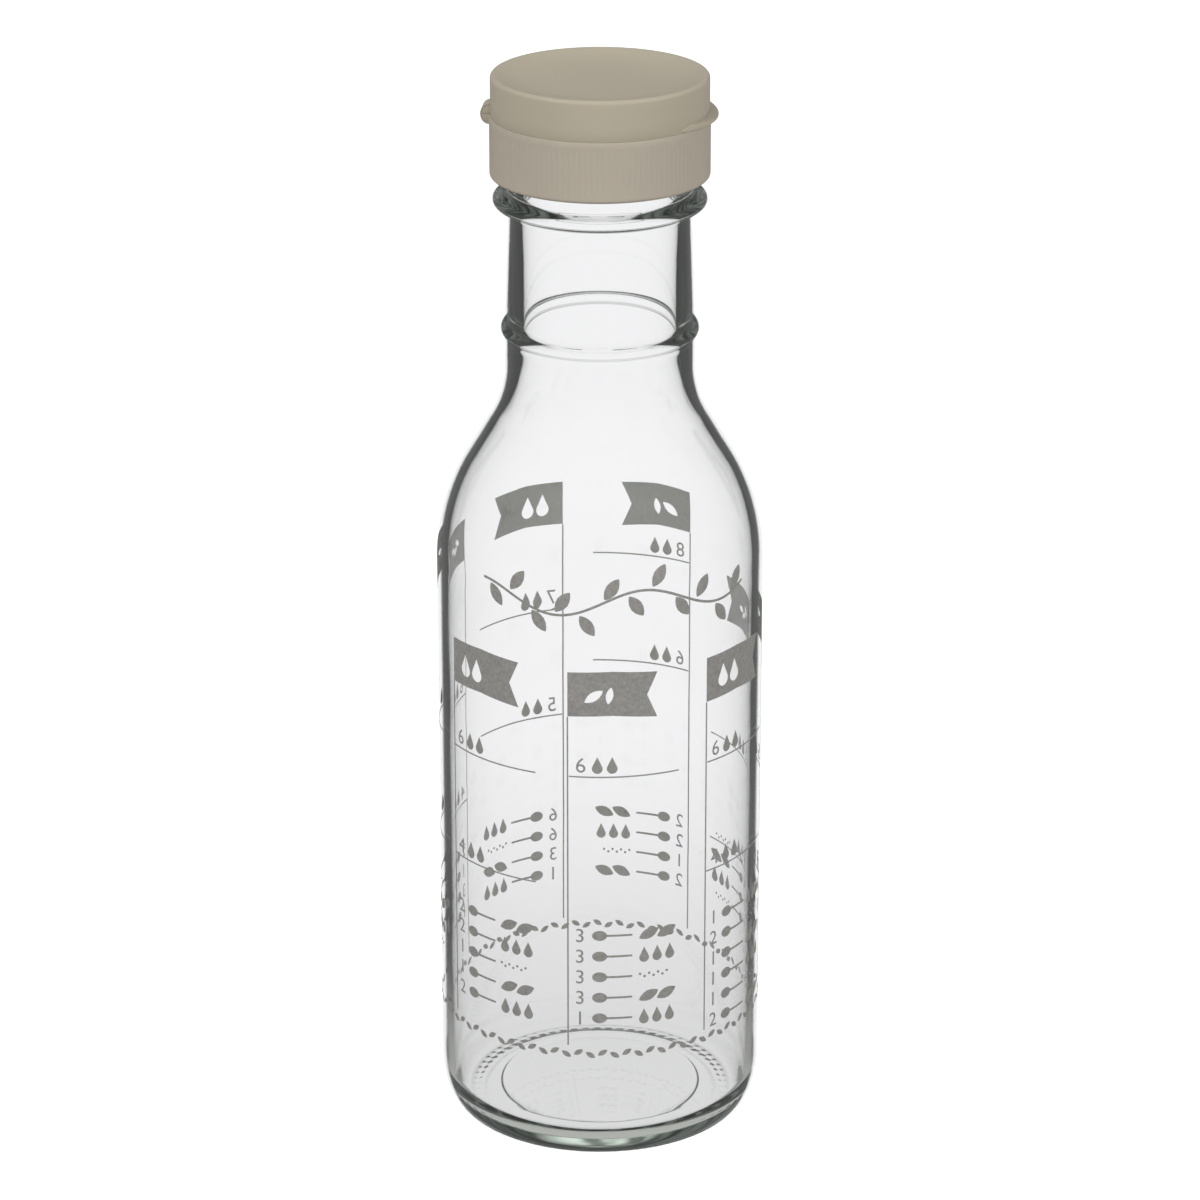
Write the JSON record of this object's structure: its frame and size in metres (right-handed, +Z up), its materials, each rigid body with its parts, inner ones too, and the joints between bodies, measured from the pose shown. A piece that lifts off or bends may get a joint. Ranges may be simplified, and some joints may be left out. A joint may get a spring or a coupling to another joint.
{
  "type": "salad dressing shaker",
  "caption": "Clear glass dressing shaker bottle with a long ringed neck, printed measuring columns and a screw closure whose flip lid covers a pouring spout.",
  "frame": {"origin": "on the bottle's axis, at the level of the bearing ring that it stands on", "axes": "+Z up along the bottle's axis; the lid's hinge is on the -X side and its thumb tab on the +X side"},
  "size_m": [0.062, 0.062, 0.2074],
  "materials": {
    "clear_glass": "clear moulded flint glass",
    "closure_plastic": "satin moulded polypropylene, warm grey",
    "seal": "soft translucent white"
  },
  "bodies": {
    "bottle": {"glass_bottle": "clear_glass"},
    "seal": {"seal_ring": "seal"},
    "closure": {"closure_base": "closure_plastic", "living_hinge": "closure_plastic"},
    "lid": {"flip_lid": "closure_plastic"}
  },
  "joints": [
    {"name": "closure_rise", "type": "slide", "parent": "bottle", "child": "seal", "axis": [0, 0, 1], "range_m": [0, 0.0127]},
    {"name": "closure_turn", "type": "hinge", "parent": "seal", "child": "closure", "pos_m": [0, 0, 0.194], "axis": [0, 0, 1], "range_deg": [0, 1080]},
    {"name": "lid_flip", "type": "hinge", "parent": "closure", "child": "lid", "pos_m": [-0.0218, 0, 0.1997], "axis": [0, -1, 0], "range_deg": [0, 170]}
  ],
  "couplings": [
    {"joint": "closure_rise", "follows": "closure_turn", "m_per_rad": 0.000673}
  ]
}
